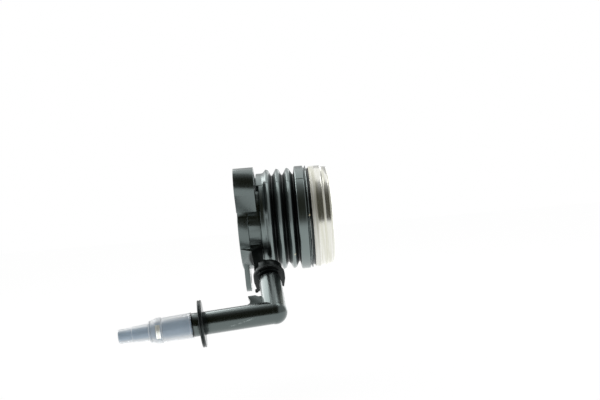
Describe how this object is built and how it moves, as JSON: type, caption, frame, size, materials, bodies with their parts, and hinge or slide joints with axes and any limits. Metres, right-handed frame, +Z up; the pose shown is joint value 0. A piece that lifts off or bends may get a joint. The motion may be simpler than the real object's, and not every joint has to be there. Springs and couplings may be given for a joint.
{
  "type": "concentric clutch slave cylinder",
  "caption": "Hydraulic clutch slave cylinder that fits round the gearbox input shaft, with a bellows, a release bearing, an inlet elbow and a line connector.",
  "frame": {"origin": "centre of the base face on the input shaft axis", "axes": "+X along the input shaft from the gearbox to the clutch, +Z up as the part is seen from the side, with the inlet below on the -Y side"},
  "size_m": [0.1292, 0.1126, 0.1012],
  "materials": {
    "housing_plastic": "glass-filled nylon, black, satin",
    "boot_rubber": "moulded rubber, dark grey, satin",
    "seal_rubber": "black rubber",
    "bearing_steel": "turned bearing steel",
    "bright_steel": "ground steel",
    "spring_steel": "phosphated spring steel",
    "clear_plastic": "frosted blue-grey clear plastic"
  },
  "bodies": {
    "base": {"housing": "housing_plastic", "guide_tube": "bright_steel", "tube_o_ring": "seal_rubber", "base_o_ring": "seal_rubber", "mount_bush_1": "bright_steel", "mount_bush_2": "bright_steel", "mount_bush_3": "bright_steel", "stop_ring": "spring_steel", "inlet_clip": "housing_plastic", "preload_spring": "spring_steel", "dust_boot": "boot_rubber"},
    "piston": {"piston": "housing_plastic", "piston_seal": "seal_rubber", "bearing_carrier": "housing_plastic", "bearing_retainer": "housing_plastic"},
    "washer": {"centring_washer": "spring_steel"},
    "bearing_inner": {"bearing_inner_ring": "bright_steel", "bearing_rear_seal": "seal_rubber"},
    "ball_train": {"bearing_cage": "housing_plastic", "ball_01": "bright_steel", "ball_02": "bright_steel", "ball_03": "bright_steel", "ball_04": "bright_steel", "ball_05": "bright_steel", "ball_06": "bright_steel", "ball_07": "bright_steel", "ball_08": "bright_steel", "ball_09": "bright_steel", "ball_10": "bright_steel", "ball_11": "bright_steel", "ball_12": "bright_steel", "ball_13": "bright_steel", "ball_14": "bright_steel", "ball_15": "bright_steel", "ball_16": "bright_steel"},
    "bearing_outer": {"bearing_outer_ring": "bearing_steel", "bearing_front_shield": "spring_steel"},
    "elbow": {"inlet_elbow": "housing_plastic", "inlet_o_ring": "seal_rubber", "pipe_seal_disc": "seal_rubber", "connector_body": "clear_plastic", "connector_clip": "bright_steel", "connector_o_ring": "seal_rubber"},
    "plug": {"transport_plug": "clear_plastic"}
  },
  "joints": [
    {"name": "piston_slide", "type": "slide", "parent": "base", "child": "piston", "axis": [1, 0, 0], "range_m": [-0.011, 0], "stiffness_N_per_m": 2000, "springref_m": 0.02, "deforming": ["dust_boot", "preload_spring"]},
    {"name": "bearing_float_y", "type": "slide", "parent": "piston", "child": "washer", "axis": [0, 1, 0], "range_m": [-0.001, 0.001]},
    {"name": "bearing_float_z", "type": "slide", "parent": "washer", "child": "bearing_inner", "axis": [0, 0, 1], "range_m": [-0.001, 0.001]},
    {"name": "bearing_spin", "type": "hinge", "parent": "bearing_inner", "child": "bearing_outer", "pos_m": [0.0513, 0, 0], "axis": [1, 0, 0], "continuous": true},
    {"name": "ball_spin", "type": "hinge", "parent": "bearing_inner", "child": "ball_train", "pos_m": [0.0513, 0, 0], "axis": [1, 0, 0], "continuous": true},
    {"name": "inlet_swivel", "type": "hinge", "parent": "base", "child": "elbow", "pos_m": [0.0124, 0, 0], "axis": [0.0872, -0.7044, -0.7044], "range_deg": [-6, 6]},
    {"name": "plug_pull", "type": "slide", "parent": "elbow", "child": "plug", "axis": [-0.9962, -0.0616, -0.0616], "range_m": [0, 0.03]}
  ],
  "couplings": [
    {"joint": "ball_spin", "follows": "bearing_spin", "ratio": 0.547}
  ]
}
